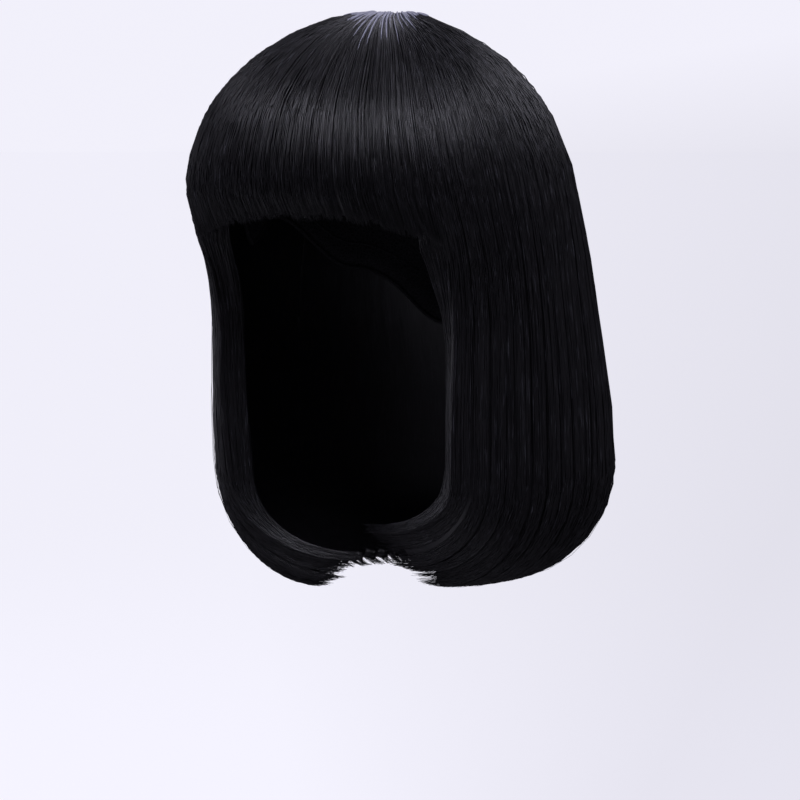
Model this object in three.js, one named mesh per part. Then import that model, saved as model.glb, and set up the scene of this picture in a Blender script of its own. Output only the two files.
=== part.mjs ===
// A short straight wig with a blunt fringe, as it sits on a head: a stretch cap, a scalp patch at the crown,
// and the hair in masses that start at the crown's whorl, hang past the jaw and curl under at the hem.
// Millimetres, +Z up, the face towards -Y and the wearer's left towards +X.
// The origin is the top of the head, on the inside of the cap, straight below the whorl.
import * as THREE from "three";

// The head that the wig fits
const headDepth = 88; // from the top of the head down to its widest level
const headHalfWidth = 76;
const headFront = 106; // from the whorl's vertical line to the forehead
const headBack = 84; // and to the back of the head
const headShift = 12; // how far the skull's middle lies in front of the whorl

// The hair's body over the head, and how far it hangs
const crownLift = 12.5; // hair above the cap at the whorl
const sideFullness = 36; // at the hem
const frontFullness = 24; // at the fringe's fullest level
const backFullness = 58; // at the hem
const hemShift = 28; // how far the hem's middle lies behind the skull's
const hangLength = 155; // from the head's widest level down to the start of the curl

// Walls and clearances
const capWall = 1.2;
const patchWall = 1;
const seatGap = 0.3; // between pieces that rest on each other
const partingGap = 0.5; // between neighbouring masses of hair
const facetAllowance = 0.9; // what flat facets take of the space over a curved seat
const curtainWall = 14; // hair hanging below the cap
const tipWall = 5; // hair at the curled hem
const fringeWall = 8; // hair at the fringe's cut edge

// The hem's curl and the locks
const curlReach = 67; // how far the longest tips come in
const curlFall = 63; // how far the deepest tips hang below the start of the curl
const curlTurn = 98; // degrees through which the longest strands bend
const lockRelief = 3; // a lock's crest above the valleys beside it, at the hem
const lockPoint = 16; // how many degrees further than its edges a lock's middle bends
const fringePoint = 3; // how far a fringe lock's middle hangs below its edges

// Angles round the whorl, in degrees: 0 is the face, 90 the wearer's left, 180 the back
const fringeEnd = 50;
const cornerStart = 30; // where the fringe's corners begin
const faceLockEnd = 68;
const sideEnd = 110;
const columnsPerLock = 4;
const capColumns = 40;
const capRows = 9;
const curlRows = 6;
const patchRow = 1; // the level row at which the scalp patch ends
const widestRow = 7;
const curtainLeaves = 7.5; // the level row below which side and back hair comes away from the cap
const curtainHangs = 10; // and the one from which it hangs as a wall of its own

// The skull's level rows, from the crown down. Lengths are shares of headDepth, headHalfWidth, headFront
// and headBack.
const SKULL = [
  { depth: 0.003, side: 0.075, front: 0.055, back: 0.07 },
  { depth: 0.016, side: 0.21, front: 0.2, back: 0.155 },
  { depth: 0.057, side: 0.355, front: 0.385, back: 0.262 },
  { depth: 0.148, side: 0.553, front: 0.594, back: 0.452 },
  { depth: 0.295, side: 0.737, front: 0.774, back: 0.643 },
  { depth: 0.5, side: 0.882, front: 0.906, back: 0.81 },
  { depth: 0.739, side: 0.974, front: 0.981, back: 0.917 },
  { depth: 1.0, side: 1.0, front: 1.0, back: 0.988 },
  { depth: 1.273, side: 1.0, front: 0.981, back: 1.0 },
  { depth: 1.568, side: 0.974, front: 0.943, back: 0.94 },
  { depth: 1.875, side: 0.868, front: 0.85, back: 0.76 },
];

// The hair's outside over the same rows, and on down to the start of the curl. Lengths are shares of crownLift,
// hangLength, sideFullness, frontFullness, backFullness and hemShift, added to the skull. edge is the angle,
// in degrees, at which the side hair begins. Below the fringe the face locks lie back, so front is negative.
const HAIR = [
  { lift: 0.74, hang: 0.0, side: 0.02, front: 0.02, back: 0.01, shift: 0.0, edge: 50 },
  { lift: 1.0, hang: 0.0, side: 0.05, front: 0.11, back: 0.02, shift: 0.0, edge: 50 },
  { lift: 0.96, hang: 0.0, side: 0.13, front: 0.2, back: 0.04, shift: 0.0, edge: 50 },
  { lift: 0.8, hang: 0.0, side: 0.27, front: 0.37, back: 0.13, shift: 0.0, edge: 50 },
  { lift: 0.64, hang: 0.0, side: 0.42, front: 0.58, back: 0.26, shift: 0.0, edge: 50 },
  { lift: 0.46, hang: 0.0, side: 0.55, front: 0.9, back: 0.37, shift: 0.0, edge: 50 },
  { lift: 0.18, hang: 0.0, side: 0.67, front: 1.03, back: 0.38, shift: 0.07, edge: 50 },
  { lift: 0.0, hang: 0.0, side: 0.77, front: 1.0, back: 0.38, shift: 0.18, edge: 50 },
  { lift: 0.0, hang: 0.16, side: 0.83, front: 0.25, back: 0.52, shift: 0.36, edge: 49 },
  { lift: 0.0, hang: 0.32, side: 0.86, front: -0.7, back: 0.67, shift: 0.57, edge: 46 },
  { lift: 0.0, hang: 0.55, side: 0.92, front: -0.8, back: 0.79, shift: 0.79, edge: 44 },
  { lift: 0.0, hang: 0.77, side: 0.97, front: -0.88, back: 0.94, shift: 0.93, edge: 42 },
  { lift: 0.0, hang: 1.0, side: 1.0, front: -1.15, back: 1.0, shift: 1.0, edge: 40 },
];
const hemRow = HAIR.length - 1;
const fringeFall = hangLength * HAIR[widestRow + 1].hang;

// The hem's curl by the angle at which a strand leaves the whorl. reach, fallLeft, fallRight and turn are shares
// of curlReach, curlFall and curlTurn, and aim is the compass angle, in degrees, that a strand curls in from.
const HEM = [
  { angle: 50, reach: 1.0, fallLeft: 0.52, fallRight: 0.73, turn: 0.94, aim: 72 },
  { angle: 60, reach: 0.98, fallLeft: 0.82, fallRight: 0.9, turn: 0.94, aim: 77 },
  { angle: 75, reach: 0.93, fallLeft: 1.0, fallRight: 1.0, turn: 0.95, aim: 86 },
  { angle: 90, reach: 0.9, fallLeft: 1.0, fallRight: 1.0, turn: 0.97, aim: 96 },
  { angle: 120, reach: 0.9, fallLeft: 1.0, fallRight: 1.0, turn: 1.0, aim: 124 },
  { angle: 180, reach: 0.9, fallLeft: 1.0, fallRight: 1.0, turn: 1.0, aim: 180 },
];

// The fringe's cut edge by angle, as a share of fringeFall, which is how far its outer corners hang below the
// head's widest level.
const FRINGE_EDGE = [
  { angle: 0, fall: 0.42 },
  { angle: 15, fall: 0.48 },
  { angle: 32, fall: 0.7 },
  { angle: 44, fall: 0.85 },
  { angle: 50, fall: 1.0 },
];

// The cap's edge by angle: the level row that it reaches, with the hairline, an ear tab and the nape.
const CAP_EDGE = [
  { angle: 0, row: 5.7 },
  { angle: 40, row: 5.9 },
  { angle: 62, row: 6.6 },
  { angle: 78, row: 8.2 },
  { angle: 94, row: 7.6 },
  { angle: 130, row: 8.8 },
  { angle: 180, row: 10.0 },
];

// The masses of hair: where each begins and ends round the whorl, and how many locks it is combed into. The face
// locks' curls are solids of their own, named by curl, so that the way between them stays open to a neck.
const MASSES = [
  { name: "fringe", from: -fringeEnd, to: fringeEnd, locks: 8 },
  { name: "face_lock_left", curl: "face_lock_left_curl", from: fringeEnd, to: faceLockEnd, locks: 1 },
  { name: "face_lock_right", curl: "face_lock_right_curl", from: -faceLockEnd, to: -fringeEnd, locks: 1 },
  { name: "side_hair_left", from: faceLockEnd, to: sideEnd, locks: 3 },
  { name: "side_hair_right", from: -sideEnd, to: -faceLockEnd, locks: 3 },
  { name: "back_hair", from: sideEnd, to: 360 - sideEnd, locks: 9 },
];

const { degToRad, radToDeg, lerp, clamp, smoothstep } = THREE.MathUtils;
const steps = (count) => Array.from({ length: count + 1 }, (_, index) => index);

// A column of a table at a place between its rows, by a cubic with averaged slopes.
function levelValue(table, column, at) {
  const last = table.length - 1;
  const low = clamp(Math.floor(at), 0, last - 1);
  const part = clamp(at, 0, last) - low;
  const start = table[low][column];
  const end = table[low + 1][column];
  const slopeIn = low > 0 ? (end - table[low - 1][column]) / 2 : end - start;
  const slopeOut = low + 1 < last ? (table[low + 2][column] - start) / 2 : end - start;
  const eased = part * part * (3 - 2 * part);
  return (
    lerp(start, end, eased) +
    part * (1 - part) ** 2 * slopeIn -
    part * part * (1 - part) * slopeOut
  );
}

// A column of a table at an angle, eased between its rows.
function angleValue(table, column, angle) {
  const size = Math.abs(angle);
  const next = clamp(table.findIndex((row) => row.angle >= size), 1, table.length - 1);
  const low = table[next - 1];
  const high = table[next];
  return lerp(low[column], high[column], smoothstep(size, low.angle, high.angle));
}

// The skull at a level row, grown by a clearance.
function skullSection(row, grown) {
  return {
    z: grown - (headDepth + grown) * levelValue(SKULL, "depth", row),
    side: (headHalfWidth + grown) * levelValue(SKULL, "side", row),
    front: (headFront + grown) * levelValue(SKULL, "front", row),
    back: (headBack + grown) * levelValue(SKULL, "back", row),
    middle: -headShift * Math.min(row / 2, 1),
  };
}

// The hair's outside at a level row. It keeps the skull's widest outline further down. raised is lock relief.
function hairSection(row, raised = 0) {
  const skull = skullSection(Math.min(row, widestRow), 0);
  const hanging = hangLength * levelValue(HAIR, "hang", row);
  return {
    z: skull.z + crownLift * levelValue(HAIR, "lift", row) - hanging,
    side: skull.side + sideFullness * levelValue(HAIR, "side", row) + raised,
    front: skull.front + frontFullness * levelValue(HAIR, "front", row) + raised,
    back: skull.back + backFullness * levelValue(HAIR, "back", row) + raised,
    middle: skull.middle + hemShift * levelValue(HAIR, "shift", row),
  };
}

// A point of a section at an angle: one half ellipse in front of its middle and another behind it.
function sectionPoint(section, angle) {
  const turn = degToRad(angle);
  const { side, front, back, middle, z } = section;
  const reach = Math.cos(turn) > 0 ? front + middle : back - middle;
  return new THREE.Vector3(side * Math.sin(turn), middle - reach * Math.cos(turn), z);
}

// The cap's outside under the hair, with the clearance that the hair keeps from it. Below the head's widest
// level it takes the height and the middle of the hair outside it.
function hairLining(row) {
  const overPatch = row <= patchRow ? patchWall + seatGap : facetAllowance;
  const lining = skullSection(row, capWall + seatGap + overPatch);
  const { z, middle } = row > widestRow ? hairSection(row) : lining;
  return { ...lining, z, middle };
}

// The inside of a strand: it lies on the cap, and below the row named leaves it comes away from it, until it
// hangs a wall's thickness inside the outside at the row named hangs.
function hairInside(outer, lining, row, wall, leaves, hangs) {
  const share = wall / outer.distanceTo(lining);
  return outer.clone().lerp(lining, lerp(1, share, smoothstep(row, leaves, hangs)));
}

// The angle that a strand has reached at a level row, as the hair draws forward round the face.
function strandAngle(angle, row) {
  const size = Math.abs(angle);
  const edge = levelValue(HAIR, "edge", row);
  const beyond = (180 - size) / (180 - fringeEnd);
  const drawn = size < fringeEnd ? (size * edge) / fringeEnd : 180 - beyond * (180 - edge);
  return Math.sign(angle) * drawn;
}

// How high a strand stands in its lock: 0 at the lock's edges and 1 along its middle.
function lockCrest(index) {
  return Math.sin((Math.PI * (index % columnsPerLock)) / columnsPerLock);
}

// One strand's outside and inside in the curl below the hem row. part is 0 where it starts and 1 at the tip. The
// outside bends inwards and down. The wall turns with it, from level at the hem to upright at the tip, where it
// is the tip's wall. Its share across the bend fades first, so that a lock whose edges hang unevenly stays open.
function curlStep(hem, angle, crest, part) {
  const fallColumn = angle > 0 ? "fallLeft" : "fallRight";
  const turn = curlTurn * angleValue(HEM, "turn", angle) - lockPoint * (1 - crest);
  const bend = degToRad(turn * part);
  const aim = degToRad(angleValue(HEM, "aim", angle) * Math.sign(angle));
  const inwards = new THREE.Vector3(-Math.sin(aim), Math.cos(aim), 0);
  const reach = curlReach * angleValue(HEM, "reach", angle);
  const outer = hem.outer.clone().addScaledVector(inwards, reach * (1 - Math.cos(bend)));
  outer.z -= curlFall * angleValue(HEM, fallColumn, angle) * Math.sin(bend);
  const wall = hem.inner.clone().sub(hem.outer);
  const level = wall.dot(inwards);
  const across = wall.addScaledVector(inwards, -level);
  const inner = outer.clone().addScaledVector(across, (1 - part) ** 3);
  inner.addScaledVector(inwards, level * Math.max(Math.cos(bend), 0));
  inner.z += tipWall * Math.sin(bend);
  return { outer, inner };
}

// Where each strand of a mass runs, and how high it stands in its lock. The first and last strands keep half
// the parting gap from the neighbouring mass.
function combed(mass) {
  const count = mass.locks * columnsPerLock;
  return steps(count).map((index) => {
    const round = mass.from + ((mass.to - mass.from) * index) / count;
    const parting = index === 0 ? partingGap / 2 : index === count ? -partingGap / 2 : 0;
    return { angle: round > 180 ? round - 360 : round, crest: lockCrest(index), parting };
  });
}

// One strand's outside and inside, down through the given level rows.
function strandRows(strand, rows, wall, leaves, hangs) {
  const placed = (section, row) => {
    const shift = radToDeg(strand.parting / section.side);
    return sectionPoint(section, strandAngle(strand.angle, row) + shift);
  };
  return rows.map((row) => {
    const raised = lockRelief * strand.crest * (row / hemRow) ** 2;
    const outer = placed(hairSection(row, raised), row);
    const inner = hairInside(outer, placed(hairLining(row), row), row, wall, leaves, hangs);
    return { outer, inner };
  });
}

// Hair that hangs past the jaw and curls under.
function curtain(mass) {
  return combed(mass).map((strand) => {
    const rows = strandRows(strand, steps(hemRow), curtainWall, curtainLeaves, curtainHangs);
    const hem = rows[hemRow];
    for (const step of steps(curlRows).slice(1)) {
      rows.push(curlStep(hem, strand.angle, strand.crest, step / curlRows));
    }
    return rows;
  });
}

// The fringe, cut level over the brows and longer at its outer corners, where it is as deep as the face locks
// beside it.
function fringe(mass) {
  return combed(mass).map((strand) => {
    const fall = angleValue(FRINGE_EDGE, "fall", strand.angle) + (fringePoint * strand.crest) / fringeFall;
    const corner = smoothstep(Math.abs(strand.angle), cornerStart, fringeEnd);
    const wall = lerp(fringeWall, curtainWall, corner);
    const leaves = lerp(widestRow - 1, curtainLeaves, corner);
    const hangs = lerp(widestRow + 1, curtainHangs, corner);
    return strandRows(strand, [...steps(widestRow), widestRow + fall], wall, leaves, hangs);
  });
}

// The strands below the hem row, a parting gap away from those above it.
function belowHem(strands) {
  const moved = (start, next) => start.clone().lerp(next, partingGap / start.distanceTo(next));
  return strands.map((rows) => {
    const [hem, next] = [rows[hemRow], rows[hemRow + 1]];
    const first = { outer: moved(hem.outer, next.outer), inner: moved(hem.inner, next.inner) };
    return [first, ...rows.slice(hemRow + 1)];
  });
}

// A closed skin over the outsides and insides of a row of strands. A ring's strands go right round, and both
// of its skins run together to a point at the top.
function closedSkin(strands, ring = false) {
  const corners = [];
  const triangle = (a, b, c) => {
    if (a.equals(b) || b.equals(c) || c.equals(a)) return;
    for (const corner of [a, b, c]) corners.push(corner.x, corner.y, corner.z);
  };
  const quad = (a, b, c, d) => {
    triangle(a, b, c);
    triangle(a, c, d);
  };
  // An end face, split along its shorter diagonal so that neither triangle is a sliver.
  const endFace = (a, b, c, d) => {
    if (a.distanceTo(c) <= b.distanceTo(d)) quad(a, b, c, d);
    else quad(b, c, d, a);
  };
  const last = strands[0].length - 1;
  strands.slice(1).forEach((right, index) => {
    const left = strands[index];
    for (const row of steps(last - 1)) {
      quad(left[row].outer, left[row + 1].outer, right[row + 1].outer, right[row].outer);
      quad(left[row].inner, right[row].inner, right[row + 1].inner, left[row + 1].inner);
    }
    endFace(left[last].outer, left[last].inner, right[last].inner, right[last].outer);
    if (!ring) endFace(left[0].outer, right[0].outer, right[0].inner, left[0].inner);
  });
  if (!ring) {
    const [first, final] = [strands[0], strands[strands.length - 1]];
    for (const row of steps(last - 1)) {
      quad(first[row].outer, first[row].inner, first[row + 1].inner, first[row + 1].outer);
      quad(final[row].outer, final[row + 1].outer, final[row + 1].inner, final[row].inner);
    }
  }
  const geometry = new THREE.BufferGeometry();
  geometry.setAttribute("position", new THREE.Float32BufferAttribute(corners, 3));
  geometry.computeVertexNormals();
  return geometry;
}

// A thin shell on the skull, from its top down to a level row that changes with the angle.
function skullShell(under, over, rowsAt) {
  const top = { outer: new THREE.Vector3(0, 0, over), inner: new THREE.Vector3(0, 0, under) };
  const strands = steps(capColumns - 1).map((index) => {
    const angle = (360 * index) / capColumns - 180;
    const rows = rowsAt(angle).map((row) => ({
      outer: sectionPoint(skullSection(row, over), angle),
      inner: sectionPoint(skullSection(row, under), angle),
    }));
    return [top, ...rows];
  });
  return closedSkin([...strands, strands[0]], true);
}

// The cap keeps the shared level rows down to the shared row, and then spreads the rest down to its edge.
function capRowsAt(angle) {
  const shared = widestRow - 2;
  const edge = angleValue(CAP_EDGE, "row", angle);
  const lower = steps(capRows - shared).slice(1);
  const spread = lower.map((step) => lerp(shared, edge, step / lower.length));
  return [...steps(shared), ...spread];
}

const hairFinish = { color: 0x0d0c0f, roughness: 0.42, metalness: 0 };
const capFinish = { color: 0x17161a, roughness: 0.85, metalness: 0 };
const patchFinish = { color: 0x8e909c, roughness: 0.7, metalness: 0 };

function named(name, geometry, finish) {
  const mesh = new THREE.Mesh(geometry, new THREE.MeshStandardMaterial(finish));
  mesh.name = name;
  return mesh;
}

const patchUnder = capWall + seatGap;
const wig = new THREE.Group();
wig.add(named("cap", skullShell(0, capWall, capRowsAt), capFinish));
wig.add(
  named("crown_patch", skullShell(patchUnder, patchUnder + patchWall, () => steps(patchRow)), patchFinish),
);
for (const mass of MASSES) {
  const strands = mass.name === "fringe" ? fringe(mass) : curtain(mass);
  const main = mass.curl ? strands.map((rows) => rows.slice(0, hemRow + 1)) : strands;
  wig.add(named(mass.name, closedSkin(main), hairFinish));
  if (mass.curl) wig.add(named(mass.curl, closedSkin(belowHem(strands)), hairFinish));
}

export default wig;
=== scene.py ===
# %% [markdown]
# # A short black wig in Blender
# The wig is a stretch cap with straight fibre sewn to it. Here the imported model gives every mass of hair
# its place, and this script grows the fibre: a combed under-layer with thousands of tapered strands over
# it.

import bpy
import numpy as np
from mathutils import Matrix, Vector


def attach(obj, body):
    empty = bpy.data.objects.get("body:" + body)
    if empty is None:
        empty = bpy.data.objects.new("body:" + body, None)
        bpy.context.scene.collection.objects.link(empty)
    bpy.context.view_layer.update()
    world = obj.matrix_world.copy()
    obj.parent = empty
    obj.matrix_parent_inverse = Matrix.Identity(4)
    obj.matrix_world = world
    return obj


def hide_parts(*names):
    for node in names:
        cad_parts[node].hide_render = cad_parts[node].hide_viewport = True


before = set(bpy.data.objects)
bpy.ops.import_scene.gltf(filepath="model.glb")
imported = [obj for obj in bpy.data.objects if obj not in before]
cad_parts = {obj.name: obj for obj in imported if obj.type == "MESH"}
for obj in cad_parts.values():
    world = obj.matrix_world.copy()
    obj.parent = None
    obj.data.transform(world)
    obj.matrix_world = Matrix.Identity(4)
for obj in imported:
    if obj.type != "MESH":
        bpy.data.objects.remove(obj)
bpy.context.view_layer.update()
MM = 0.001
print("nodes:", sorted(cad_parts))

# %% [markdown]
# ## The form that all strands follow
# A strand of a bob leaves the crown's whorl, lies on the cap, hangs, and curls under. One could model each
# lock by hand, but then no two would agree. Instead one envelope holds the whole shape: level rows from the
# whorl down to the hem, each a front and a back half ellipse, and an arc for the curl. Every strand is a
# line on it.

# %% Sizes of the cap's form and of the hair over it, in millimetres
CAP_FORM = {"depth": 88, "side": 76, "front": 106, "back": 84, "shift": 12}
HAIR = {"lift": 12.5, "side": 36, "front": 24, "back": 58, "shift": 28, "hang": 155}
CURL = {"reach": 67, "fall": 63, "turn": 98}
WIDEST_ROW = 7
HEM_ROW = 12
CURL_ROWS = 6  # the curl is counted as this many further rows
FRINGE_END = 50
CURTAIN_WALL = 14  # thickness of the hanging hair
TIP_WALL = 5
FRINGE_WALL = 8
LOCK_RELIEF = 3  # a lock's crest above its neighbours' borders, at the hem

# Level rows from the crown down: the form's depth and reaches as shares of CAP_FORM, and the hair's rise, hang,
# fullness and middle as shares of HAIR. edge is the angle in degrees where the side hair begins.
LEVELS = {
    "form_depth": [0.003, 0.016, 0.057, 0.148, 0.295, 0.5, 0.739, 1.0, 1.273, 1.568, 1.875, 1.875, 1.875],
    "form_side": [0.075, 0.21, 0.355, 0.553, 0.737, 0.882, 0.974, 1.0, 1.0, 0.974, 0.868, 0.868, 0.868],
    "form_front": [0.055, 0.2, 0.385, 0.594, 0.774, 0.906, 0.981, 1.0, 0.981, 0.943, 0.85, 0.85, 0.85],
    "form_back": [0.07, 0.155, 0.262, 0.452, 0.643, 0.81, 0.917, 0.988, 1.0, 0.94, 0.76, 0.76, 0.76],
    "lift": [0.74, 1.0, 0.96, 0.8, 0.64, 0.46, 0.18, 0, 0, 0, 0, 0, 0],
    "hang": [0, 0, 0, 0, 0, 0, 0, 0, 0.16, 0.32, 0.55, 0.77, 1.0],
    "side": [0.02, 0.05, 0.13, 0.27, 0.42, 0.55, 0.67, 0.77, 0.83, 0.86, 0.92, 0.97, 1.0],
    "front": [0.02, 0.11, 0.2, 0.37, 0.58, 0.9, 1.03, 1.0, 0.25, -0.7, -0.8, -0.88, -1.15],
    "back": [0.01, 0.02, 0.04, 0.13, 0.26, 0.37, 0.38, 0.38, 0.52, 0.67, 0.79, 0.94, 1.0],
    "shift": [0, 0, 0, 0, 0, 0, 0.07, 0.18, 0.36, 0.57, 0.79, 0.93, 1.0],
    "edge": [50, 50, 50, 50, 50, 50, 50, 50, 49, 46, 44, 42, 40],
}
# The curl by the angle at which a strand leaves the whorl, and the compass angle that it curls in from.
HEM = {
    "angle": [50, 60, 75, 90, 120, 180],
    "reach": [1.0, 0.98, 0.93, 0.9, 0.9, 0.9],
    "fall_left": [0.52, 0.82, 1.0, 1.0, 1.0, 1.0],
    "fall_right": [0.79, 0.98, 1.09, 1.08, 1.02, 1.0],
    "turn": [0.94, 0.94, 0.95, 0.97, 1.0, 1.0],
    "aim": [72, 77, 86, 96, 124, 180],
}
print("level rows:", len(LEVELS["lift"]))


# %% Read the tables as smooth curves
def smooth(share):
    """Eases a share from 0 to 1 with level ends: three squares minus two cubes."""
    share = np.clip(share, 0, 1)
    return share * share * (3 - 2 * share)


def level(column, at):
    """A column at fractional rows: a cubic through its rows whose slopes are averages of the steps beside."""
    values = np.array(LEVELS[column], float)
    last = len(values) - 1
    low = np.clip(np.floor(at).astype(int), 0, last - 1)
    part = np.clip(at, 0, last) - low
    start, end = values[low], values[low + 1]
    slope_in = np.where(low > 0, (end - values[np.maximum(low - 1, 0)]) / 2, end - start)
    slope_out = np.where(low + 1 < last, (values[np.minimum(low + 2, last)] - start) / 2, end - start)
    eased = start + (end - start) * smooth(part)
    return eased + part * (1 - part) ** 2 * slope_in - part * part * (1 - part) * slope_out


def hem(column, angle):
    """A column of the curl's table at an angle, eased between its rows."""
    stops = np.array(HEM["angle"], float)
    values = np.array(HEM[column], float)
    size = np.clip(np.abs(angle), stops[0], stops[-1])
    low = np.clip(np.searchsorted(stops, size, side="right") - 1, 0, len(stops) - 2)
    share = (size - stops[low]) / (stops[low + 1] - stops[low])
    return values[low] + (values[low + 1] - values[low]) * smooth(share)


def section(row):
    """The hair's outline at a row, as height, half width, front, back and middle: form plus fullness."""
    dome = np.minimum(row, WIDEST_ROW)
    height = HAIR["lift"] * level("lift", row) - CAP_FORM["depth"] * level("form_depth", dome)
    height = height - HAIR["hang"] * level("hang", row)
    side = CAP_FORM["side"] * level("form_side", dome) + HAIR["side"] * level("side", row)
    front = CAP_FORM["front"] * level("form_front", dome) + HAIR["front"] * level("front", row)
    back = CAP_FORM["back"] * level("form_back", dome) + HAIR["back"] * level("back", row)
    middle = HAIR["shift"] * level("shift", row) - CAP_FORM["shift"] * np.minimum(row / 2, 1)
    return height, side, front, back, middle


def drawn_angle(angle, row):
    """Where a strand of a given angle has got to at a row, as hair draws forward beside the front opening."""
    size = np.abs(angle)
    edge = level("edge", row)
    beyond = (180 - size) / (180 - FRINGE_END)
    return np.sign(angle) * np.where(size < FRINGE_END, size * edge / FRINGE_END, 180 - beyond * (180 - edge))


def surface_normal_parts(row):
    """How a short way into the hair splits into inwards and downwards at a row, from the section's slope."""
    step = 0.05
    above, below = section(np.maximum(row - step, 0)), section(np.minimum(row + step, HEM_ROW))
    rise = above[0] - below[0]
    widen = (2 * below[1] + below[2] + below[3] - 2 * above[1] - above[2] - above[3]) / 4
    length = np.hypot(rise, widen) + 1e-9
    return rise / length, np.maximum(widen, 0) / length


def section_point(angle, row, sink):
    """The section's half ellipse at a row and angle, drawn in along the surface's normal by the depth."""
    height, side, front, back, middle = section(row)
    level_part, down_part = surface_normal_parts(row)
    turn = np.radians(drawn_angle(angle, row))
    reach = np.where(np.cos(turn) > 0, front + middle, back - middle) - sink * level_part
    across = (side - sink * level_part) * np.sin(turn)
    return np.stack([across, middle - reach * np.cos(turn), height - sink * down_part + 0 * turn], axis=-1)


def hair_point(angle, row, sink):
    """Points of the hair in millimetres, for arrays of strand angle, row and depth below the outside.
    Down to the hem row they lie on the section. Below it they are on an arc: inwards by reach times one minus
    cosine, and down by fall times sine. The depth turns with the bend, from level to upright, and thins."""
    hem_point = section_point(angle, np.minimum(row, HEM_ROW), 0 * sink)
    sunk = section_point(angle, np.minimum(row, HEM_ROW), sink)
    part = np.clip((row - HEM_ROW) / CURL_ROWS, 0, None)
    bend = np.radians(CURL["turn"] * hem("turn", angle) * part)
    aim = np.radians(hem("aim", angle)) * np.sign(angle)
    inwards = np.stack([-np.sin(aim), np.cos(aim), 0 * aim], axis=-1)
    fall = np.where(angle > 0, hem("fall_left", angle), hem("fall_right", angle)) * CURL["fall"]
    drawn_in = CURL["reach"] * hem("reach", angle) * (1 - np.cos(bend))
    depth = sunk - hem_point
    level_depth = (depth * inwards).sum(-1)
    across = depth - level_depth[..., None] * inwards
    turned = across * ((1 - np.minimum(part, 1)) ** 3)[..., None]
    turned = turned + inwards * (level_depth * np.maximum(np.cos(bend), 0))[..., None]
    in_curl = (part > 0)[..., None]
    point = hem_point + np.where(in_curl, turned, depth) + inwards * drawn_in[..., None]
    point[..., 2] += np.sin(bend) * (sink * TIP_WALL / CURTAIN_WALL - fall)
    return point


low_corner = hair_point(np.array([180.0]), np.array([17.0]), np.array([0.0]))
print("back of the hem, mm:", low_corner.round(1))

# %% [markdown]
# ## Meshes from arrays
# Thousands of strands would take minutes as curve objects. Worked out as whole arrays and put into one mesh
# a piece, they take seconds. A strand is a three-sided tube, pointed at both ends, so each stays a closed
# body.


# %% Put arrays into a mesh
def new_piece(name, points, quads, triangles, strand_map, finish, nodes, slot):
    """A mesh object from points in millimetres, faces and one map coordinate a point, tied to the frame."""
    mesh = bpy.data.meshes.new(name)
    corners = np.concatenate([quads.ravel(), triangles.ravel()]).astype(np.int32)
    starts = np.concatenate([np.arange(len(quads)) * 4, len(quads) * 4 + np.arange(len(triangles)) * 3])
    mesh.vertices.add(len(points))
    mesh.vertices.foreach_set("co", (points * MM).astype(np.float32).ravel())
    mesh.loops.add(len(corners))
    mesh.loops.foreach_set("vertex_index", corners)
    mesh.polygons.add(len(starts))
    mesh.polygons.foreach_set("loop_start", starts.astype(np.int32))
    mesh.polygons.foreach_set("use_smooth", np.ones(len(starts), bool))
    mesh.update(calc_edges=True)
    mesh.validate()
    layer = mesh.uv_layers.new(name="strand_map")
    layer.data.foreach_set("uv", strand_map[corners].astype(np.float32).ravel())
    mesh.materials.append(finish)
    piece = bpy.data.objects.new(name, mesh)
    bpy.context.scene.collection.objects.link(piece)
    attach(piece, "root")
    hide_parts(*nodes)
    print(name, "triangles:", 2 * len(quads) + len(triangles))
    return piece


def tubes(paths, across, radius, strand_map):
    """Three-sided tubes along paths: each ring is the path's point plus the radius times a turned pair of axes,
    one across the strand and one square to it and to the path. Both ends close on a point."""
    count, stations = paths.shape[:2]
    along = np.gradient(paths, axis=1)
    along /= np.linalg.norm(along, axis=2, keepdims=True) + 1e-9
    across = across - (across * along).sum(2, keepdims=True) * along
    across /= np.linalg.norm(across, axis=2, keepdims=True) + 1e-9
    outward = np.cross(along, across)
    turns = np.arange(3) * 2 * np.pi / 3 + np.pi / 2
    ring = across[:, :, None] * np.cos(turns)[:, None] + outward[:, :, None] * np.sin(turns)[:, None]
    rings = paths[:, :, None] + ring * radius[:, :, None, None]
    tips = paths[:, [0, -1]] + along[:, [0, -1]] * radius.max() * np.array([-2, 2])[:, None]
    points = np.concatenate([rings.reshape(count, -1, 3), tips], axis=1)
    size = stations * 3 + 2
    base = (np.arange(count) * size)[:, None]
    station, side = np.meshgrid(np.arange(stations - 1), np.arange(3), indexing="ij")
    here, there = station * 3 + side, station * 3 + (side + 1) % 3
    quad = np.stack([here, there, there + 3, here + 3], axis=-1).reshape(-1, 4)
    sides = np.arange(3)
    nexts = (sides + 1) % 3
    end = (stations - 1) * 3
    root_fan = np.stack([np.full(3, size - 2), nexts, sides], axis=-1)
    tip_fan = np.stack([end + sides, end + nexts, np.full(3, size - 1)], axis=-1)
    fan = np.concatenate([root_fan, tip_fan])
    quads = (quad[None] + base[:, :, None]).reshape(-1, 4)
    triangles = (fan[None] + base[:, :, None]).reshape(-1, 3)
    mapped = np.repeat(strand_map, 3, axis=1)
    mapped = np.concatenate([mapped, strand_map[:, [0, -1]]], axis=1)
    return points.reshape(-1, 3), quads, triangles, mapped.reshape(-1, 2)


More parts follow.
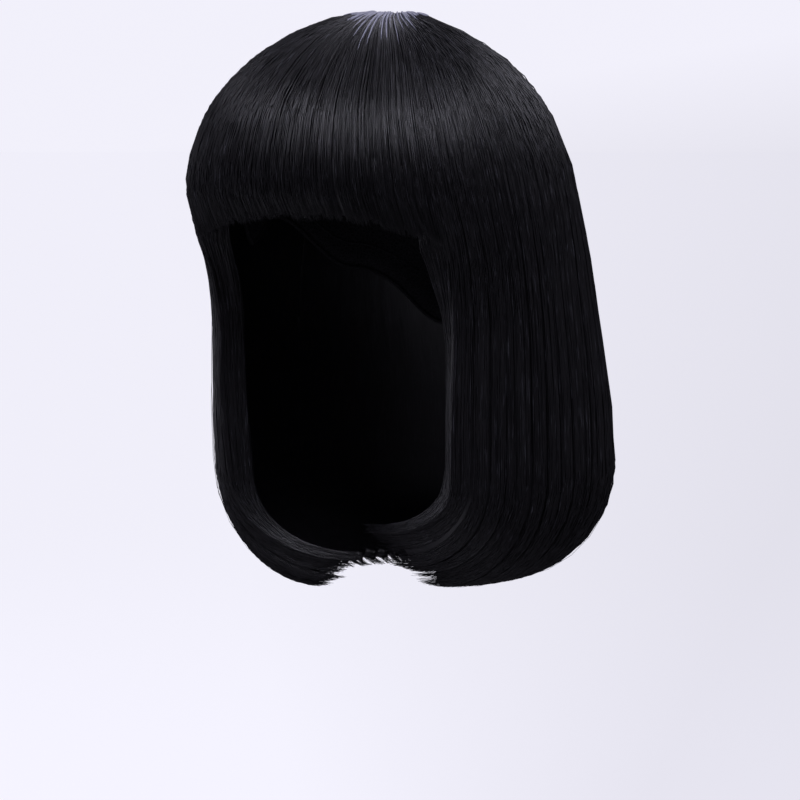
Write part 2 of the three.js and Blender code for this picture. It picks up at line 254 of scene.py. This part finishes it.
def closed_skin(outer, inner, outer_map, inner_map):
    """Two grids of points, columns by rows, closed into one body round their four edges."""
    columns, rows = outer.shape[:2]
    index = np.arange(columns * rows).reshape(columns, rows)
    under = index + columns * rows

    def cells(grid, flip):
        faces = np.stack([grid[:-1, :-1], grid[:-1, 1:], grid[1:, 1:], grid[1:, :-1]], axis=-1).reshape(-1, 4)
        return faces[:, ::-1] if flip else faces

    def rim(edge, inside, flip):
        faces = np.stack([edge[:-1], edge[1:], inside[1:], inside[:-1]], axis=-1)
        return faces[:, ::-1] if flip else faces

    quads = np.concatenate(
        [
            cells(index, False),
            cells(under, True),
            rim(index[:, 0], under[:, 0], False),
            rim(index[:, -1], under[:, -1], True),
            rim(index[0], under[0], True),
            rim(index[-1], under[-1], False),
        ]
    )
    points = np.concatenate([outer.reshape(-1, 3), inner.reshape(-1, 3)])
    mapped = np.concatenate([outer_map.reshape(-1, 2), inner_map.reshape(-1, 2)])
    return points, quads, np.zeros((0, 3), int), mapped


def joined(bodies):
    """Several bodies of points, quads, triangles and map coordinates as one."""
    offsets = np.cumsum([0] + [len(body[0]) for body in bodies[:-1]])
    points = np.concatenate([body[0] for body in bodies])
    quads = np.concatenate([body[1] + offset for body, offset in zip(bodies, offsets)])
    triangles = np.concatenate([body[2] + offset for body, offset in zip(bodies, offsets)])
    return points, quads, triangles, np.concatenate([body[3] for body in bodies])


# %% [markdown]
# ## Finishes
# The fibre is near-black and fairly glossy, each strand differs a little in tone and gloss, and a few are
# paler. The strands are real tubes, so the band of light across the dome comes from their shape, and a
# plain gloss with grain on it is enough. A hair shader would be lost in the export.
# The paler strands are painted sheen: streaks of reflection given as colour.


# %% Shader maths as Python expressions
class Wire:
    """A socket's output. Adding, subtracting or multiplying it adds the Math node for that."""

    def __init__(self, finish, socket):
        self.finish = finish
        self.socket = socket

    def maths(self, operation, first, second):
        return self.finish.node("ShaderNodeMath", {"operation": operation}, {0: first, 1: second})

    def __add__(self, other):
        return self.maths("ADD", self, other)

    def __sub__(self, other):
        return self.maths("SUBTRACT", self, other)

    def __rsub__(self, other):
        return self.maths("SUBTRACT", other, self)

    def __mul__(self, other):
        return self.maths("MULTIPLY", self, other)

    __radd__ = __add__
    __rmul__ = __mul__


class Finish:
    """A material with one Principled shader and a method that adds any other node."""

    def __init__(self, name, **fixed):
        self.material = bpy.data.materials.new(name)
        self.material.use_nodes = True
        self.tree = self.material.node_tree
        self.shader = next(n for n in self.tree.nodes if n.type == "BSDF_PRINCIPLED")
        for socket, value in fixed.items():
            self.shader.inputs[socket.replace("_", " ")].default_value = value

    def node(self, kind, settings=None, inputs=None, output=0):
        made = self.tree.nodes.new(kind)
        for key, value in (settings or {}).items():
            setattr(made, key, value)
        for key, value in (inputs or {}).items():
            if isinstance(value, Wire):
                self.tree.links.new(value.socket, made.inputs[key])
            else:
                made.inputs[key].default_value = value
        return Wire(self, made.outputs[output])

    def feed(self, socket, wire):
        self.tree.links.new(wire.socket, self.shader.inputs[socket])

    def blend(self, share, first, second):
        settings = {"data_type": "RGBA"}
        return self.node("ShaderNodeMix", settings, {"Factor": share, 6: first, 7: second}, output=2)


# %% The fibre
def hair_finish():
    """Tone and gloss from noise on the strand map, fast across the strands and slow along them. The tone mixes
    two near-blacks, and where the noise is highest a paler grey, which is painted sheen: streaks of reflection
    given as colour."""
    finish = Finish("hair_fibre", IOR=1.5)
    lie = finish.node("ShaderNodeUVMap", {"uv_map": "strand_map"})
    spread = finish.node("ShaderNodeMapping", {}, {"Vector": lie, "Scale": (9.0, 0.35, 1.0)})
    strands = finish.node("ShaderNodeTexNoise", {}, {"Vector": spread, "Scale": 5.0, "Detail": 3.0})
    broad = finish.node("ShaderNodeMapping", {}, {"Vector": lie, "Scale": (0.8, 0.2, 1.0)})
    locks = finish.node("ShaderNodeTexNoise", {}, {"Vector": broad, "Scale": 2.0, "Detail": 2.0})
    tone = strands * 0.6 + locks * 0.4
    dark = finish.blend(tone, (0.0025, 0.0024, 0.003, 1), (0.0085, 0.008, 0.0098, 1))
    # painted sheen: where the noise is highest the strands turn pale grey, as streaks of reflection
    few = finish.node("ShaderNodeMapRange", {}, {"Value": strands, "From Min": 0.585, "From Max": 0.7})
    finish.feed("Base Color", finish.blend(few, dark, (0.04, 0.04, 0.048, 1)))
    finish.feed("Roughness", strands * 0.3 + 0.25)
    grain = {"Height": strands, "Strength": 0.25, "Distance": 0.0004}
    finish.feed("Normal", finish.node("ShaderNodeBump", {}, grain))
    return finish.material


def patch_and_sheen_finish():
    """Pale grey scalp fabric: a fine knit of one wave texture under a faint mottle."""
    # This pale grey is the patch's own colour, and on the crown's ribs it is painted sheen.
    finish = Finish("scalp_patch", Roughness=0.55)
    place = finish.node("ShaderNodeTexCoord", output=3)
    mottle = finish.node("ShaderNodeTexNoise", {}, {"Vector": place, "Scale": 220.0, "Detail": 3.0})
    knit = finish.node("ShaderNodeTexWave", {}, {"Vector": place, "Scale": 480.0, "Distortion": 1.5}, output=1)
    finish.feed("Base Color", finish.blend(mottle, (0.15, 0.153, 0.195, 1), (0.34, 0.345, 0.43, 1)))
    weave = {"Height": knit, "Strength": 0.4, "Distance": 0.0003}
    finish.feed("Normal", finish.node("ShaderNodeBump", {}, weave))
    return finish.material


def cap_finish():
    """Black stretch net: cells of a Voronoi pattern raised at their edges, in two close tones."""
    finish = Finish("cap_net", Roughness=0.85)
    place = finish.node("ShaderNodeTexCoord", output=3)
    cells = {"feature": "DISTANCE_TO_EDGE"}
    net = finish.node("ShaderNodeTexVoronoi", cells, {"Vector": place, "Scale": 520.0})
    threads = 1 - net * 5.0
    finish.feed("Base Color", finish.blend(threads, (0.006, 0.006, 0.007, 1), (0.022, 0.021, 0.025, 1)))
    weave = {"Height": threads, "Strength": 0.5, "Distance": 0.0004}
    finish.feed("Normal", finish.node("ShaderNodeBump", {}, weave))
    return finish.material


HAIR_FINISH = hair_finish()
PATCH_AND_SHEEN_FINISH = patch_and_sheen_finish()
CAP_FINISH = cap_finish()

# %% [markdown]
# ## The cap and the scalp patch
# The cap shows only from below. It is a thin wall on its form, with a rolled elastic edge and sewn rows of
# weft. A subdivided cage would do, but the form's own formula gives the surface at once, with its ear tabs
# and nape.

# %% The cap's surface
CAP_EDGE = {"angle": [0, 40, 62, 78, 94, 130, 180], "row": [5.7, 5.9, 6.6, 8.2, 7.6, 8.8, 10.0]}
CAP_WALL = 1.2
PATCH_WALL = 1.0
SEAT_GAP = 0.3


def form_point(angle, row, grown):
    """The cap's form at an angle and row, each half axis larger by the growth."""
    turn = np.radians(angle)
    side = (CAP_FORM["side"] + grown) * level("form_side", row)
    front = (CAP_FORM["front"] + grown) * level("form_front", row)
    back = (CAP_FORM["back"] + grown) * level("form_back", row)
    middle = -CAP_FORM["shift"] * np.minimum(row / 2, 1)
    reach = np.where(np.cos(turn) > 0, front + middle, back - middle)
    height = grown - (CAP_FORM["depth"] + grown) * level("form_depth", row) + 0 * turn
    return np.stack([side * np.sin(turn), middle - reach * np.cos(turn), height], axis=-1)


def cap_edge(angle):
    """The row of the cap's edge, eased between the table's angles."""
    stops = np.array(CAP_EDGE["angle"], float)
    rows = np.array(CAP_EDGE["row"], float)
    low = np.clip(np.searchsorted(stops, np.abs(angle), side="right") - 1, 0, len(stops) - 2)
    share = (np.abs(angle) - stops[low]) / (stops[low + 1] - stops[low])
    return rows[low] + (rows[low + 1] - rows[low]) * smooth(share)


def form_shell(under, over, edge_of, columns, rows):
    """A shell between two growths of the form, closed at the crown by a fan and at its edge by a rim."""
    angles = np.arange(columns) * 360 / columns - 180
    share = np.linspace(0, 1, rows)[None]
    at = share * edge_of(angles)[:, None]
    spread = angles[:, None] + 0 * at
    walls = [form_point(spread, at, growth) for growth in (over, under)]
    points = np.concatenate([wall.reshape(-1, 3) for wall in walls] + [[[0, 0, over], [0, 0, under]]])
    index = np.arange(columns * rows).reshape(columns, rows)
    right = np.roll(index, -1, axis=0)
    lower = columns * rows
    outer = np.stack([index[:, :-1], index[:, 1:], right[:, 1:], right[:, :-1]], axis=-1).reshape(-1, 4)
    rim = np.stack([index[:, -1], index[:, -1] + lower, right[:, -1] + lower, right[:, -1]], axis=-1)
    top, bottom = np.full(columns, 2 * lower), np.full(columns, 2 * lower + 1)
    fans = np.concatenate(
        [
            np.stack([top, index[:, 0], right[:, 0]], axis=-1),
            np.stack([bottom, right[:, 0] + lower, index[:, 0] + lower], axis=-1),
        ]
    )
    quads = np.concatenate([outer, outer[:, ::-1] + lower, rim])
    return points, quads, fans, points[:, :2] / 10


def ring_tube(path, radius):
    """A closed loop of six-sided tube along a ring of points."""
    along = np.roll(path, -1, axis=0) - np.roll(path, 1, axis=0)
    along /= np.linalg.norm(along, axis=1, keepdims=True)
    up = np.array([0, 0, 1.0]) - along * along[:, 2:]
    up /= np.linalg.norm(up, axis=1, keepdims=True)
    out = np.cross(along, up)
    turns = np.arange(6) * np.pi / 3
    ring = up[:, None] * np.cos(turns)[:, None] + out[:, None] * np.sin(turns)[:, None]
    points = (path[:, None] + ring * radius).reshape(-1, 3)
    index = np.arange(len(path) * 6).reshape(-1, 6)
    after = np.roll(index, -1, axis=0)
    quads = np.stack([index, after, np.roll(after, -1, axis=1), np.roll(index, -1, axis=1)], axis=-1)
    return points, quads.reshape(-1, 4)[:, ::-1], np.zeros((0, 3), int), points[:, :2] / 10


def build_cap():
    """The cap's wall, its rolled edge, and weft rows on its inside every level row from the second."""
    around = np.arange(120) * 3.0 - 180
    wall = form_shell(0, CAP_WALL, cap_edge, 120, 26)
    bodies = [wall, ring_tube(form_point(around, cap_edge(around), CAP_WALL / 2), 1.3)]
    for share in np.linspace(0.25, 0.94, 11):
        bodies.append(ring_tube(form_point(around, share * cap_edge(around), 0.0), 0.55))
    points, quads, fans, mapped = joined(bodies)
    return new_piece("stretch_cap", points, quads, fans, mapped, CAP_FINISH, ["cap"], "cap_net")


build_cap()

# %% [markdown]
# ## The masses of hair
# Each mass is combed in locks of uneven width. A hair system would be quick to set up, but the export needs
# meshes. So under the strands lies a filled body with fine grooves, which lets no gap show the other side.
# Over it lie the strands, which gather a little towards their lock's middle on the way down.

# %% What each mass holds
MASSES = [
    {"name": "fringe_hair", "nodes": ["fringe"], "from": -50, "to": 50, "strands": 2050, "stations": 10},
    {
        "name": "face_locks_left",
        "nodes": ["face_lock_left", "face_lock_left_curl"],
        "from": 50,
        "to": 68,
        "strands": 570,
        "stations": 16,
    },
    {
        "name": "face_locks_right",
        "nodes": ["face_lock_right", "face_lock_right_curl"],
        "from": -68,
        "to": -50,
        "strands": 570,
        "stations": 16,
    },
    {
        "name": "side_curtain_left",
        "nodes": ["side_hair_left"],
        "from": 68,
        "to": 110,
        "strands": 920,
        "stations": 16,
    },
    {
        "name": "side_curtain_right",
        "nodes": ["side_hair_right"],
        "from": -110,
        "to": -68,
        "strands": 920,
        "stations": 16,
    },
    {"name": "back_curtain", "nodes": ["back_hair"], "from": 110, "to": 250, "strands": 1200, "stations": 16},
]
LOCK_WIDTH = 4.6  # degrees round the whorl
STRAND_RADIUS = 0.34
OVERLAP = 0.9  # degrees by which a mass's body reaches under its neighbour's
FRINGE_FALL = {
    "angle": [-50, -38, -25, -15, 0, 12, 20, 30, 40, 44, 46, 48, 49, 50],
    "length": [24, 21.7, 18.6, 16.2, 12.7, 12.9, 13.8, 16.4, 20.6, 22.5, 25.5, 29, 32, 50],
}
ROW_HANG = HAIR["hang"] * np.array(LEVELS["hang"][WIDEST_ROW:])


def signed(angle):
    return np.where(angle > 180, angle - 360, angle)


def is_fringe(mass):
    return mass["nodes"] == ["fringe"]


def fringe_row(angle):
    """The row where the fringe is cut, from how far it hangs below the form's widest level."""
    length = np.interp(angle, FRINGE_FALL["angle"], FRINGE_FALL["length"])
    return WIDEST_ROW + np.interp(length, ROW_HANG, np.arange(len(ROW_HANG)))


def lock_edges(mass, random):
    """Uneven borders of the mass's locks, from its first angle to its last."""
    count = max(round((mass["to"] - mass["from"]) / LOCK_WIDTH), 2)
    widths = random.uniform(0.4, 1.8, count)
    return mass["from"] + (mass["to"] - mass["from"]) * np.concatenate([[0], np.cumsum(widths) / widths.sum()])


def in_lock(angle, edges):
    """For each angle its lock, the lock's middle, and how high it stands: 0 at borders, 1 in the middle."""
    low = np.clip(np.searchsorted(edges, angle, side="right") - 1, 0, len(edges) - 2)
    start, end = edges[low], edges[low + 1]
    place = np.clip((angle - start) / (end - start), 0, 1)
    return low, (start + end) / 2, np.sin(np.pi * place)


def raised(row, crest):
    """How far hair stands out of the section: the locks' relief, most of it shared by crests and borders."""
    return LOCK_RELIEF * np.clip(row / HEM_ROW, 0, 1) ** 2 * (0.76 + 0.24 * crest)


# %% The filled body
BODY_ROWS = 40
BODY_DEPTH = 2.0  # below the strands' outside
GROOVE_DEPTH = 1.2
RIDGES = 4096
RIDGES_A_DEGREE = 3.1
BODY_SHORT = 0.55  # rows by which a curtain's body ends before its strands
BODY_RAGGED = 0.5


def under_body(mass, edges, ends, random):
    """The filled body under the strands: a grid of angle by row, its outside grooved by fine random ridges
    that drift a little with the row, and its inside on the cap or a wall's thickness in. Its outer columns are
    drawn a little into the wall, behind the neighbour's."""
    columns = int((mass["to"] - mass["from"]) / (0.9 if "back" in mass["name"] else 0.7))
    first = mass["from"] - OVERLAP * (mass["from"] != FRINGE_END)
    last = mass["to"] + OVERLAP * (mass["to"] != -FRINGE_END)
    angle = np.linspace(first, last, columns)
    lock, middle, crest = in_lock(angle, edges)
    share = np.linspace(0, 1, BODY_ROWS)[None]
    short = 0.08 if is_fringe(mass) else BODY_SHORT + random.uniform(0, BODY_RAGGED, columns)
    rows = share * (ends(signed(angle), crest, lock) - short)[:, None]
    spread = signed(angle)[:, None] + 0 * rows
    ridges = random.uniform(0, 1, RIDGES)
    drift = angle[:, None] * RIDGES_A_DEGREE + 0.8 * np.sin(rows * 0.7) + 2000
    groove = np.interp(drift, np.arange(RIDGES), ridges)
    outer = hair_point(spread, rows, BODY_DEPTH + GROOVE_DEPTH * groove - raised(rows, crest[:, None]))
    inner = inside_point(spread, rows, is_fringe(mass))
    inner[[0, -1]] = 0.95 * inner[[0, -1]] + 0.05 * outer[[0, -1]]
    mapped = np.stack([angle[:, None] / 4 + 0 * rows, rows], axis=-1)
    return closed_skin(outer, inner, mapped, mapped + 0.37)


def inside_point(angle, row, in_fringe):
    """The inside of a mass: on the cap's clearance down to the widest row, then eased to a wall inside."""
    lining = form_point(angle, np.minimum(row, 10), CAP_WALL + PATCH_WALL + 2 * SEAT_GAP)
    lining[..., 2] = np.where(row > WIDEST_ROW, section(np.minimum(row, HEM_ROW))[0], lining[..., 2])
    wall = FRINGE_WALL if in_fringe else CURTAIN_WALL - 0.5
    deep = hair_point(angle, row, wall + 0 * row)
    start = WIDEST_ROW - 1 if in_fringe else WIDEST_ROW + 0.5
    away = smooth((row - start) / (2 if in_fringe else 2.5))[..., None]
    return lining + (deep - lining) * away


# %% The strands
ROOT_DEPTH = 5.0
ROOT_RISE = 0.7  # rows over which a strand comes up from its root
CROWN_SHARE = 0.25  # share of the strands whose root is at the whorl
CROWN_ROWS = 1.2
GATHER = 0.3  # share of the way to the lock's middle by the hem
WAVE = 0.35  # height of the slow wave along a strand
FRINGE_RAGGED = 0.025  # spread of the tips, in rows
HEM_RAGGED = 0.2


def strand_paths(mass, edges, ends, count, random, deep):
    """Strand lines: angle and row by station. A root starts below the surface at a row picked so that as many
    strands cross each circle as its girth needs, and the line gathers to its lock and wanders a little. A depth
    below zero stands out, more so the further down, as loose strands do."""
    angle = random.uniform(mass["from"], mass["to"], count)
    lock, middle, crest = in_lock(angle, edges)
    girth = np.interp(np.linspace(0, WIDEST_ROW, 60), np.arange(13), section(np.arange(13.0))[1])
    girth = np.maximum.accumulate(girth) / girth.max()
    root = np.interp(random.uniform(0, 1, count), girth, np.linspace(0, WIDEST_ROW, 60))
    root = np.where(random.uniform(0, 1, count) < CROWN_SHARE, random.uniform(0, CROWN_ROWS, count), root)
    ragged = FRINGE_RAGGED if is_fringe(mass) else HEM_RAGGED
    tip = ends(signed(angle), crest, lock) + random.normal(0, ragged, count)
    tip = tip - 5 * ragged * random.uniform(0, 1, count) ** 3
    share = np.linspace(0, 1, mass["stations"])[None]
    row = root[:, None] + (tip - root)[:, None] * share
    down = row / HEM_ROW
    gather = GATHER * np.clip(down, 0, 1) ** 2
    wander = random.uniform(0.1, 0.5, count)[:, None] * np.sin(
        row * random.uniform(0.3, 0.9, count)[:, None] + random.uniform(0, 6.3, count)[:, None]
    )
    turned = angle[:, None] + (middle - angle)[:, None] * gather + wander * np.minimum(down, 1)
    turned = np.clip(turned, mass["from"] - 0.6, mass["to"] + 0.6)
    sink = deep[0] + (deep[1] - deep[0]) * random.uniform(0, 1, count) ** 1.5
    sink = np.where(sink < 0, sink, 0)[:, None] * np.clip(down, 0, 1) ** 3 + np.maximum(sink, 0)[:, None]
    sink = sink + ROOT_DEPTH * np.exp(-(row - root[:, None]) / ROOT_RISE) * np.minimum(root, 1)[:, None]
    sink = sink - raised(row, crest[:, None])
    sink = sink + WAVE * np.sin(row * 1.3 + random.uniform(0, 6.3, count)[:, None])
    return angle, signed(turned), row, sink


OUTER_DEPTHS = (0.0, 3.2)


def strand_tubes(mass, edges, ends, count, random, deep=OUTER_DEPTHS, radius=STRAND_RADIUS, through=False):
    """Tapered tubes on those lines, each with its own place across the strand map. Strands that go through a
    mass lie anywhere from its outside to its inside, as on the edges of the front opening."""
    angle, turned, row, sink = strand_paths(mass, edges, ends, count, random, deep)
    paths = hair_point(turned, row, sink)
    if through:
        inwards = inside_point(turned, row, False) - hair_point(turned, row, 0 * sink)
        paths = paths + inwards * random.uniform(0, 1, (count, 1, 1))
    compass = np.radians(turned)
    across = np.stack([np.cos(compass), np.sin(compass), 0 * compass], axis=-1)
    share = np.linspace(0, 1, row.shape[1])
    taper = np.minimum(1, 0.35 + 3 * share) * (1 - 0.75 * np.clip((share - 0.72) / 0.28, 0, 1) ** 1.5)
    thick = radius * random.uniform(0.7, 1.25, len(angle))[:, None] * taper[None]
    mapped = np.stack([(angle * 7.3 + random.uniform(0, 40, len(angle)))[:, None] + 0 * row, row], axis=-1)
    return tubes(paths, across, thick, mapped)


# %% Build the six masses
INNER_SHARE = 5  # one strand inside a curtain for each so many outside
LOOSE = {"count": 10, "depths": (-1.6, -0.2), "radius": 0.13}
EDGE = {"from": 49.5, "to": 50.6, "count": 280, "depths": (0.0, 0.5)}
HEM_SHARE = 0.98  # share of the curl's rows that the longest strands fill


def build_mass(mass, seed):
    """One mass of hair: its filled body, its strands outside and inside, a few loose ones, and beside the front
    opening the strands of the open edge."""
    random = np.random.default_rng(seed)
    edges = lock_edges(mass, random)
    uneven = random.normal(0, 1, len(edges))

    def ends(angle, crest, lock):
        if is_fringe(mass):
            return fringe_row(angle) + 0.02 * uneven[lock] + 0.02 * crest
        return HEM_ROW + CURL_ROWS * (HEM_SHARE + 0.015 * uneven[lock] - 0.04 * (1 - crest))

    bodies = [
        under_body(mass, edges, ends, random),
        strand_tubes(mass, edges, ends, mass["strands"], random),
    ]
    if not is_fringe(mass):
        inner = (CURTAIN_WALL - 3.0, CURTAIN_WALL + 0.3)
        bodies.append(strand_tubes(mass, edges, ends, mass["strands"] // INNER_SHARE, random, inner))
        bodies.append(strand_tubes(mass, edges, ends, LOOSE["count"], random, LOOSE["depths"], LOOSE["radius"]))
    if "face" in mass["name"]:
        side = np.sign(mass["from"])
        first, last = sorted([side * EDGE["from"], side * EDGE["to"]])
        front = {**mass, "from": first, "to": last}
        borders = np.array([first, last])
        bodies.append(strand_tubes(front, borders, ends, EDGE["count"], random, EDGE["depths"], through=True))
    return new_piece(mass["name"], *joined(bodies), HAIR_FINISH, mass["nodes"], "hair_fibre")


for number, mass in enumerate(MASSES):
    build_mass(mass, 20 + number)

# %% [markdown]
# ## The pale crown
# At the whorl the fibre is knotted to a pale patch of fabric. The thin pale lines between the dark strands are
# partly that patch and partly painted sheen, the bright backdrop mirrored in the near-level strands. A texture
# could paint the lines. Slim ribs that rise from the patch along the strands have real edges, and they stay
# where they are from every side.

# %% The patch and its ribs
RIBS = 100
RIB_RADIUS = 1.15
RIB_ROWS = 0.7  # the least that a rib spans
# painted sheen: the pale ribs are longest round this angle, on the side toward the camera
SHEEN_SIDE = {"angle": 36, "spread": 31, "rows": 2.5}  # where the ribs are longest


def crown_sheen_ribs(random):
    """Tapered pale ribs along the hair's outside from near the whorl, partly the patch showing and partly
    painted sheen. Their length over the rows falls off as a bell curve round the side toward the camera."""
    angle = signed((np.arange(RIBS) + random.uniform(-0.45, 0.45, RIBS)) * 360 / RIBS)
    first = random.uniform(0.25, 0.8, RIBS)
    bell = np.exp(-(((angle - SHEEN_SIDE["angle"]) / SHEEN_SIDE["spread"]) ** 2))
    last = first + RIB_ROWS + SHEEN_SIDE["rows"] * bell * random.uniform(0.6, 1, RIBS)
    share = np.linspace(0, 1, 12)[None]
    row = first[:, None] + (last - first)[:, None] * share
    lean = random.normal(0, 1.3, RIBS)[:, None] * share
    turned = angle[:, None] + lean
    sink = 0.1 - raised(row, 1.0) + random.uniform(-0.3, 0.5, RIBS)[:, None]
    compass = np.radians(turned)
    across = np.stack([np.cos(compass), np.sin(compass), 0 * compass], axis=-1)
    taper = np.minimum(1, 0.4 + 3 * share) * (1 - share) ** 0.4 + 0.05
    thick = RIB_RADIUS * random.uniform(0.6, 1.25, RIBS)[:, None] * taper
    return tubes(hair_point(turned, row, sink), across, thick, np.stack([turned, row], axis=-1))


def build_patch():
    """The scalp patch, on the cap's top with the seat gap under it, and its ribs, whose pale grey is partly
    painted sheen.
    """
    under = CAP_WALL + SEAT_GAP
    shell = form_shell(under, under + PATCH_WALL, lambda angles: 1.0 + 0 * angles, 96, 12)
    bodies = [shell, crown_sheen_ribs(np.random.default_rng(7))]
    return new_piece("scalp", *joined(bodies), PATCH_AND_SHEEN_FINISH, ["crown_patch"], "scalp_patch")


build_patch()

# %% [markdown]
# ## Floor, light and camera
# The photograph is a bright studio with a pale lavender-white ground, a little darker to one side. The
# ground is a wide floor and the world's own colour. Black hair shows only what it mirrors, so each light is
# placed for one sheen: in front overhead for the band across the dome, at the right and the left for the
# sides, high behind for the crown, where the strands lie nearly level, and low in front for the curls.

# %% The floor
GROUND = (0.885, 0.875, 0.965)
# painted shade: the ground's glow is darker to one side
DIM_GROUND = (0.765, 0.755, 0.835)  # the ground falls off to one side
FALL_OFF = (2.97, 1.85, 0.0)  # its direction and steepness, for a unit vector from the wig
FALL_OFF_START = 0.3
SKY_RISE = -20  # above the horizon the ground soon has its full colour


def build_floor(height, radius):
    """A flat round floor that glows in the ground's colour, as a lit paper sweep looks. Its glow falls off to
    one
    side as painted shade: the share of the dim colour is the dot product of FALL_OFF and the direction from the
    wig."""
    turns = np.linspace(0, 2 * np.pi, 96, endpoint=False)
    rim = np.stack([np.cos(turns) * radius, np.sin(turns) * radius, np.full(96, height)], axis=-1)
    mesh = bpy.data.meshes.new("floor")
    mesh.from_pydata(rim.tolist(), [], [list(range(96))])
    finish = Finish("floor", Roughness=1.0, Emission_Strength=1.0)
    place = finish.node("ShaderNodeTexCoord", output=3)
    mottle = finish.node("ShaderNodeTexNoise", {}, {"Vector": place, "Scale": 1.5})
    finish.feed("Base Color", finish.blend(mottle, (0.06, 0.06, 0.065, 1), (0.07, 0.07, 0.075, 1)))
    bearing = finish.node("ShaderNodeVectorMath", {"operation": "NORMALIZE"}, {0: place})
    dim = finish.node("ShaderNodeVectorMath", {"operation": "DOT_PRODUCT"}, {0: bearing, 1: FALL_OFF}, output=1)
    lit, shaded = [(*[0.97 * tone for tone in ground], 1) for ground in (GROUND, DIM_GROUND)]
    finish.feed("Emission Color", finish.blend(dim + FALL_OFF_START, lit, shaded))
    mesh.materials.append(finish.material)
    floor = bpy.data.objects.new("floor", mesh)
    bpy.context.scene.collection.objects.link(floor)
    floor.visible_glossy = False
    floor.visible_diffuse = False
    floor.visible_shadow = False


build_floor(-0.62, 400.0)


# %% The world and the lights
def build_world():
    """The ground's colour and its fall-off to one side, painted shade, for the camera, and an even dim studio
    for what the wig reflects.
    """
    world = bpy.data.worlds.new("studio")
    bpy.context.scene.world = world
    world.use_nodes = True
    tree = world.node_tree
    tree.nodes.clear()
    output = tree.nodes.new("ShaderNodeOutputWorld")
    mix = tree.nodes.new("ShaderNodeMixShader")
    seen = tree.nodes.new("ShaderNodeBackground")
    room = tree.nodes.new("ShaderNodeBackground")
    path = tree.nodes.new("ShaderNodeLightPath")
    way = tree.nodes.new("ShaderNodeTexCoord")
    dim = tree.nodes.new("ShaderNodeVectorMath")
    dim.operation = "DOT_PRODUCT"
    dim.inputs[1].default_value = (FALL_OFF[0], FALL_OFF[1], SKY_RISE)
    offset = tree.nodes.new("ShaderNodeMath")
    offset.inputs[1].default_value = FALL_OFF_START
    ground = tree.nodes.new("ShaderNodeMix")
    ground.data_type = "RGBA"
    ground.inputs[6].default_value = (*GROUND, 1)
    ground.inputs[7].default_value = (*DIM_GROUND, 1)
    room.inputs["Color"].default_value = (0.105, 0.1, 0.125, 1)
    tree.links.new(way.outputs["Generated"], dim.inputs[0])
    tree.links.new(dim.outputs["Value"], offset.inputs[0])
    tree.links.new(offset.outputs[0], ground.inputs[0])
    tree.links.new(ground.outputs[2], seen.inputs["Color"])
    tree.links.new(path.outputs["Is Camera Ray"], mix.inputs["Fac"])
    tree.links.new(room.outputs[0], mix.inputs[1])
    tree.links.new(seen.outputs[0], mix.inputs[2])
    tree.links.new(mix.outputs[0], output.inputs["Surface"])


LIGHT_TINT = (0.87, 0.86, 1.0)  # daylight from a north window


def soft_light(name, azimuth, elevation, distance, size, power, aim=(0, 0, -0.12)):
    """A square area light on a sphere round the wig, facing it."""
    turn, rise = np.radians(azimuth), np.radians(elevation)
    place = np.array([np.sin(turn) * np.cos(rise), -np.cos(turn) * np.cos(rise), np.sin(rise)]) * distance
    light = bpy.data.lights.new(name, "AREA")
    light.size = size
    light.energy = power
    light.color = LIGHT_TINT
    holder = bpy.data.objects.new(name, light)
    bpy.context.scene.collection.objects.link(holder)
    holder.location = Vector(place) + Vector(aim)
    holder.rotation_euler = (Vector(aim) - holder.location).to_track_quat("-Z", "Y").to_euler()


VIEW_AZIMUTH = 32.0
VIEW_ELEVATION = 4.75
DISTANCE = 1.7
MM_PER_PIXEL = 0.56
turn, rise = np.radians(VIEW_AZIMUTH), np.radians(VIEW_ELEVATION)
AWAY = np.array([np.sin(turn) * np.cos(rise), -np.cos(turn) * np.cos(rise), np.sin(rise)])
build_world()
soft_light("front_overhead", 22, 50, 1.7, 0.7, 18)
soft_light("right_overhead", 130, 46, 1.8, 0.9, 9.5)
soft_light("left_window", -95, 8, 2.0, 1.3, 13)
soft_light("back_overhead", 205, 40, 1.7, 0.9, 5)
soft_light("ground_glow", -10, -55, 1.6, 1.2, 2)

# %% The camera
IMAGE_SIDE = 800
WHORL_PIXEL = 393
TOP_PIXEL = 12
SENSOR = 36.0


def build_camera():
    """A long lens at the photograph's angle, aimed so that the whorl and the top of the hair fall on their
    pixels: the target lies right of the whorl by the pixels between it and the middle, and as far below."""
    middle = IMAGE_SIDE / 2
    right = np.array([np.cos(turn), np.sin(turn), 0])
    up = np.cross(right, -AWAY)
    top = np.array([0, 0, HAIR["lift"] * MM])
    scale = MM_PER_PIXEL * MM
    target = top + right * (middle - WHORL_PIXEL) * scale - up * (middle - TOP_PIXEL) * scale
    data = bpy.data.cameras.new("camera")
    data.sensor_width = SENSOR
    data.lens = SENSOR * DISTANCE / (MM_PER_PIXEL * MM * IMAGE_SIDE)
    camera = bpy.data.objects.new("camera", data)
    bpy.context.scene.collection.objects.link(camera)
    camera.location = Vector(target + AWAY * DISTANCE)
    camera.rotation_euler = Vector(-AWAY).to_track_quat("-Z", "Y").to_euler()
    bpy.context.scene.camera = camera
    print("lens, mm:", round(data.lens, 1), "target:", target.round(3))


build_camera()
bpy.context.scene.view_settings.view_transform = "Standard"
